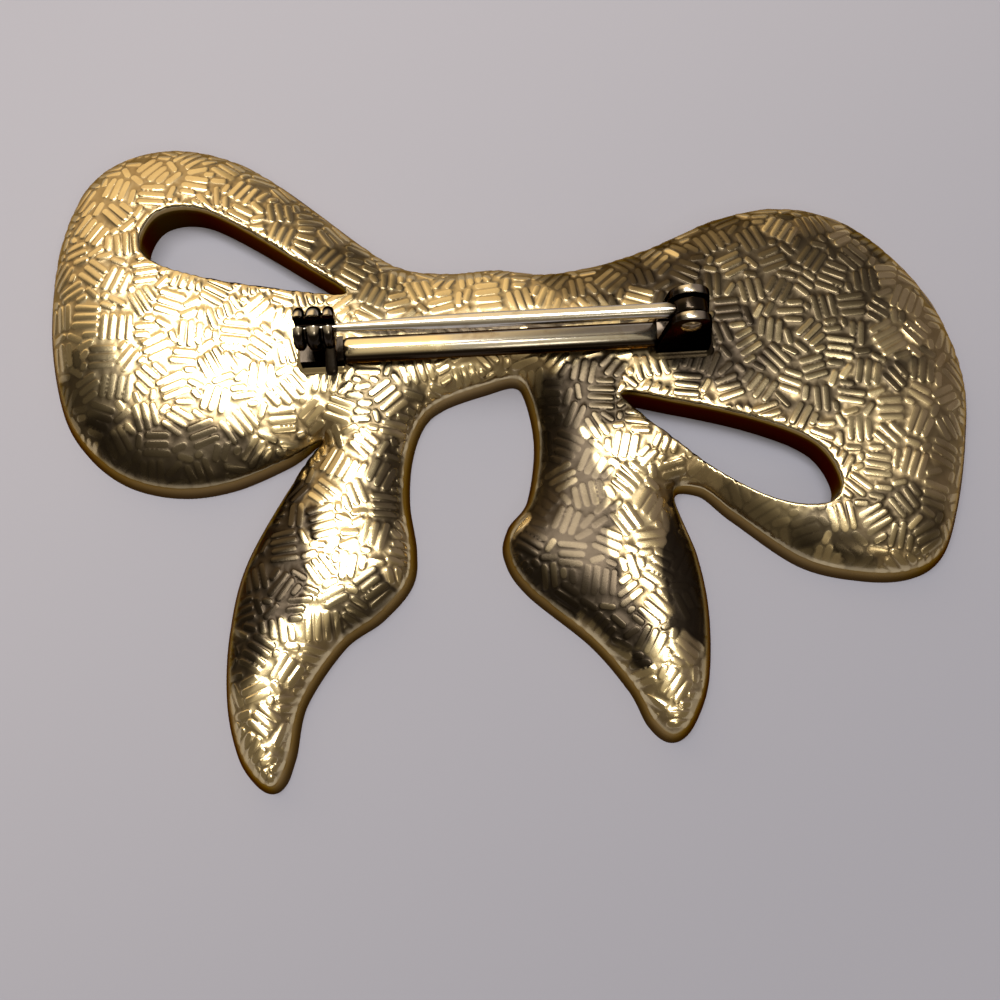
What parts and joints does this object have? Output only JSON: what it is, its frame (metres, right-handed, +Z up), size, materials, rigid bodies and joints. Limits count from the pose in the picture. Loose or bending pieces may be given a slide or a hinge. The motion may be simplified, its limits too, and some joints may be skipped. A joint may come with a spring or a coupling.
{
  "type": "bow brooch",
  "caption": "Bow-shaped brooch lying face down: cast bow with two loops and two tails, and a soldered pin back with hinged stem and turning catch.",
  "frame": {"origin": "on the surface it lies on, under the middle of the bow's outline", "axes": "+X along the bow towards the hinge's loop, +Y from the tail tips to the loops, +Z up out of the back"},
  "size_m": [0.0711, 0.0509, 0.0107],
  "materials": {
    "bow_metal": "worn gold plating with dark tarnish, raised rib texture on the back",
    "rivet_metal": "dull, tarnished",
    "pin_metal": "drawn wire, pale gold wash",
    "lock_metal": "dark, tarnished, worn bright on the edges"
  },
  "bodies": {
    "brooch": {"bow": "bow_metal", "hinge_rivet": "rivet_metal"},
    "stem": {"pin_stem": "pin_metal"},
    "lock": {"catch_lock": "lock_metal"}
  },
  "joints": [
    {"name": "stem_hinge", "type": "hinge", "parent": "brooch", "child": "stem", "pos_m": [0.01318, 0.00805, 0.00918], "axis": [-0.0558, 0.9984, 0], "range_deg": [0, 110]},
    {"name": "lock_turn", "type": "hinge", "parent": "brooch", "child": "lock", "pos_m": [-0.01358, 0.00655, 0.00918], "axis": [-0.9984, -0.0558, 0], "range_deg": [0, 90]}
  ]
}
